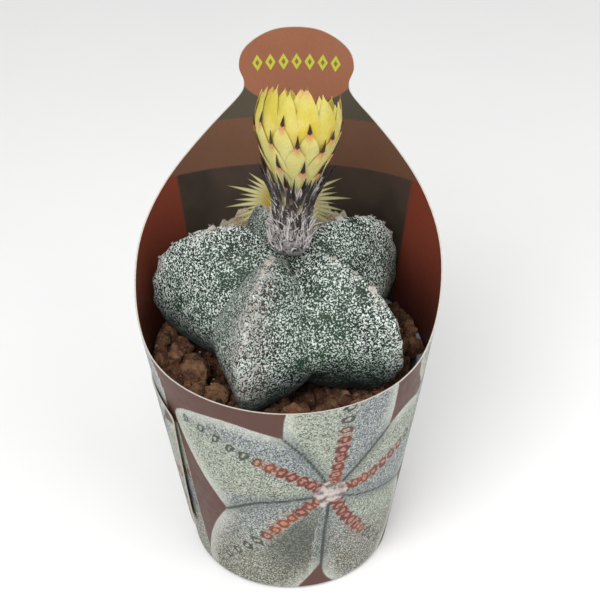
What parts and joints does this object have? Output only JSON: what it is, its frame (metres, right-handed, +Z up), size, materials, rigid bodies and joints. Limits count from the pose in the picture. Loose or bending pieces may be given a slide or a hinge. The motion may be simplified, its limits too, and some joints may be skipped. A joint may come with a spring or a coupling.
{
  "type": "potted star cactus in a card sleeve",
  "caption": "Ribbed star-shaped cactus with a closed yellow flower on top, in a round nursery pot with soil, inside a conical printed card sleeve whose back rises to a rounded header.",
  "frame": {"origin": "centre of the pot's flat underside, on the surface it stands on", "axes": "+Z up, the sleeve's header at +Y, the front of the sleeve at -Y, +X to the right seen from the front"},
  "size_m": [0.0958, 0.103, 0.168],
  "materials": {
    "pot_plastic": "satin",
    "printed_card": "satin",
    "soil": "matte",
    "soil_clod": "matte",
    "cactus_skin": "matte",
    "wool": "matte",
    "flower_tube": "matte",
    "scale_skin": "matte",
    "tepal_pale": "satin",
    "tepal_cream": "satin",
    "tepal_yellow": "satin",
    "stamen": "matte",
    "style": "satin"
  },
  "bodies": {
    "root": {"cactus_stem": "cactus_skin", "card_sleeve": "printed_card", "crown_wool": "wool", "flower_tube": "flower_tube", "nursery_pot": "pot_plastic", "potting_soil": "soil", "soil_clod_01": "soil_clod", "soil_clod_02": "soil_clod", "soil_clod_03": "soil_clod", "soil_clod_04": "soil_clod", "soil_clod_05": "soil_clod", "soil_clod_06": "soil_clod", "soil_clod_07": "soil_clod", "soil_clod_08": "soil_clod", "soil_clod_09": "soil_clod", "soil_clod_10": "soil_clod", "soil_clod_11": "soil_clod", "soil_clod_12": "soil_clod", "stamens": "stamen", "style": "style", "tepal_inner_01": "tepal_yellow", "tepal_inner_02": "tepal_yellow", "tepal_inner_03": "tepal_yellow", "tepal_inner_04": "tepal_yellow", "tepal_inner_05": "tepal_yellow", "tepal_inner_06": "tepal_yellow", "tepal_inner_07": "tepal_yellow", "tepal_inner_08": "tepal_yellow", "tepal_inner_09": "tepal_yellow", "tepal_inner_10": "tepal_yellow", "tepal_inner_11": "tepal_yellow", "tepal_inner_12": "tepal_yellow", "tepal_middle_01": "tepal_cream", "tepal_middle_02": "tepal_cream", "tepal_middle_03": "tepal_cream", "tepal_middle_04": "tepal_cream", "tepal_middle_05": "tepal_cream", "tepal_middle_06": "tepal_cream", "tepal_middle_07": "tepal_cream", "tepal_middle_08": "tepal_cream", "tepal_middle_09": "tepal_cream", "tepal_middle_10": "tepal_cream", "tepal_outer_01": "tepal_pale", "tepal_outer_02": "tepal_pale", "tepal_outer_03": "tepal_pale", "tepal_outer_04": "tepal_pale", "tepal_outer_05": "tepal_pale", "tepal_outer_06": "tepal_pale", "tepal_outer_07": "tepal_pale", "tepal_outer_08": "tepal_pale", "tepal_outer_09": "tepal_pale", "tube_scale_01": "scale_skin", "tube_scale_02": "scale_skin", "tube_scale_03": "scale_skin", "tube_scale_04": "scale_skin", "tube_scale_05": "scale_skin", "tube_scale_06": "scale_skin", "tube_scale_07": "scale_skin", "tube_scale_08": "scale_skin", "tube_scale_09": "scale_skin"}
  },
  "joints": []
}
